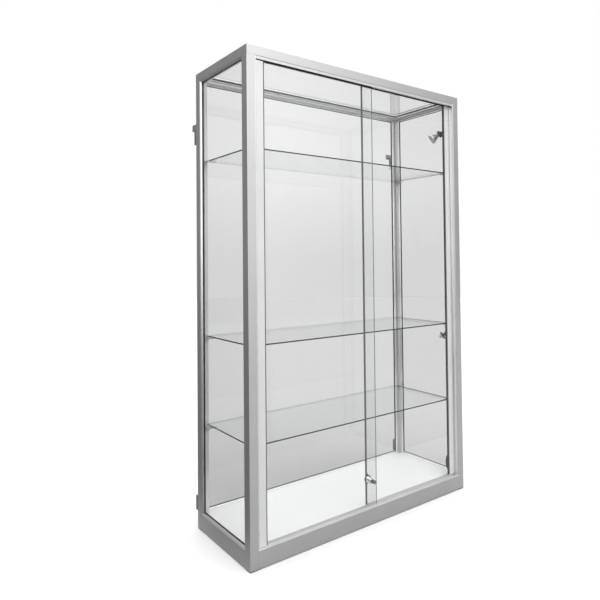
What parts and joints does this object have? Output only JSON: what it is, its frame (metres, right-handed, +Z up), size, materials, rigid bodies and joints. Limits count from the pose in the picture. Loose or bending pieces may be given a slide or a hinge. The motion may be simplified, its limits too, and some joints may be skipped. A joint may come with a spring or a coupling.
{
  "type": "glass display showcase",
  "caption": "Tall free-standing aluminium and glass display showcase with overlapping sliding glass doors, glass shelves, a plunger lock and swivelling spotlights.",
  "frame": {"origin": "on the floor, in the middle of the footprint", "axes": "+X to the viewer's right along the width, +Y to the back, +Z up"},
  "size_m": [1.2, 0.492, 1.9],
  "materials": {
    "aluminium": "satin anodised extrusion",
    "clear_glass": "clear toughened float glass",
    "shelf_glass": "clear float glass with polished edges",
    "white_laminate": "white melamine-faced board",
    "gasket": "black rubber or soft plastic, matt",
    "grey_plastic": "moulded nylon",
    "black_plastic": "moulded black plastic",
    "clear_silicone": "clear silicone bumper",
    "zinc_steel": "zinc-plated steel",
    "chrome": "bright chrome plate",
    "brass": "plain brass",
    "reflector": "satin silver lamp shell",
    "lamp_glass": "frosted lamp glass",
    "ceramic": "white steatite"
  },
  "bodies": {
    "frame": {"post_front_left": "aluminium", "post_front_right": "aluminium", "post_rear_left": "aluminium", "post_rear_right": "aluminium", "top_rail_front": "aluminium", "top_rail_rear": "aluminium", "top_rail_left": "aluminium", "top_rail_right": "aluminium", "plinth_front": "aluminium", "plinth_rear": "aluminium", "plinth_left": "aluminium", "plinth_right": "aluminium", "corner_connectors": "grey_plastic", "floor_glides": "black_plastic", "left_glazing_frame": "aluminium", "right_glazing_frame": "aluminium", "rear_glazing_frame": "aluminium", "top_glazing_frame": "aluminium", "left_glass": "clear_glass", "right_glass": "clear_glass", "rear_glass": "clear_glass", "top_glass": "clear_glass", "glazing_gaskets": "gasket", "deck": "white_laminate", "shelf_lower": "shelf_glass", "shelf_middle": "shelf_glass", "shelf_upper": "shelf_glass", "shelf_clips": "zinc_steel", "shelf_pads": "clear_silicone", "bottom_track": "aluminium", "top_track": "aluminium", "jambs": "aluminium", "spot_bases": "black_plastic", "switch_housing": "black_plastic", "wall_spacers": "grey_plastic", "wall_brackets": "zinc_steel", "panel_screws": "zinc_steel"},
    "left_door": {"left_door_glass": "clear_glass", "left_door_profile": "aluminium", "left_door_shoe": "aluminium", "left_door_cap": "gasket", "left_door_wedges": "gasket", "lock_barrel": "chrome", "lock_washer": "gasket", "lock_nut": "zinc_steel"},
    "right_door": {"right_door_glass": "clear_glass", "right_door_profile": "aluminium", "right_door_shoe": "aluminium", "right_door_cap": "gasket", "right_door_seals": "gasket"},
    "lock_plunger": {"lock_plunger": "chrome"},
    "lock_core": {"lock_core": "brass"},
    "upper_spot_arm": {"upper_spot_arm": "black_plastic"},
    "upper_spot_lamp": {"upper_spot_holder": "black_plastic", "upper_spot_reflector": "reflector", "upper_spot_lens": "lamp_glass"},
    "middle_spot_arm": {"middle_spot_arm": "black_plastic"},
    "middle_spot_lamp": {"middle_spot_holder": "black_plastic", "middle_spot_socket": "ceramic"},
    "switch_rocker": {"switch_rocker": "black_plastic"}
  },
  "joints": [
    {"name": "left_door_slide", "type": "slide", "parent": "frame", "child": "left_door", "axis": [1, 0, 0], "range_m": [0, 0.53]},
    {"name": "right_door_slide", "type": "slide", "parent": "frame", "child": "right_door", "axis": [1, 0, 0], "range_m": [-0.53, 0]},
    {"name": "lock_push", "type": "slide", "parent": "left_door", "child": "lock_plunger", "axis": [0, 1, 0], "range_m": [0, 0.008]},
    {"name": "key_turn", "type": "hinge", "parent": "lock_plunger", "child": "lock_core", "pos_m": [-0.021, -0.2015, 0.189], "axis": [0, 1, 0], "range_deg": [0, 90]},
    {"name": "upper_spot_turn", "type": "hinge", "parent": "frame", "child": "upper_spot_arm", "pos_m": [0.556, -0.146, 1.734], "axis": [1, 0, 0], "range_deg": [-43, 72]},
    {"name": "upper_spot_tilt", "type": "hinge", "parent": "upper_spot_arm", "child": "upper_spot_lamp", "pos_m": [0.556, -0.146, 1.734], "axis": [0, -0.682, -0.7314], "range_deg": [-50, 25]},
    {"name": "middle_spot_turn", "type": "hinge", "parent": "frame", "child": "middle_spot_arm", "pos_m": [0.556, -0.146, 0.739], "axis": [1, 0, 0], "range_deg": [-43, 72]},
    {"name": "middle_spot_tilt", "type": "hinge", "parent": "middle_spot_arm", "child": "middle_spot_lamp", "pos_m": [0.556, -0.146, 0.739], "axis": [0, -0.682, -0.7314], "range_deg": [-50, 25]},
    {"name": "switch_rock", "type": "hinge", "parent": "frame", "child": "switch_rocker", "pos_m": [0.552, -0.152, 0.119], "axis": [1, 0, 0], "range_deg": [-14, 0]}
  ]
}
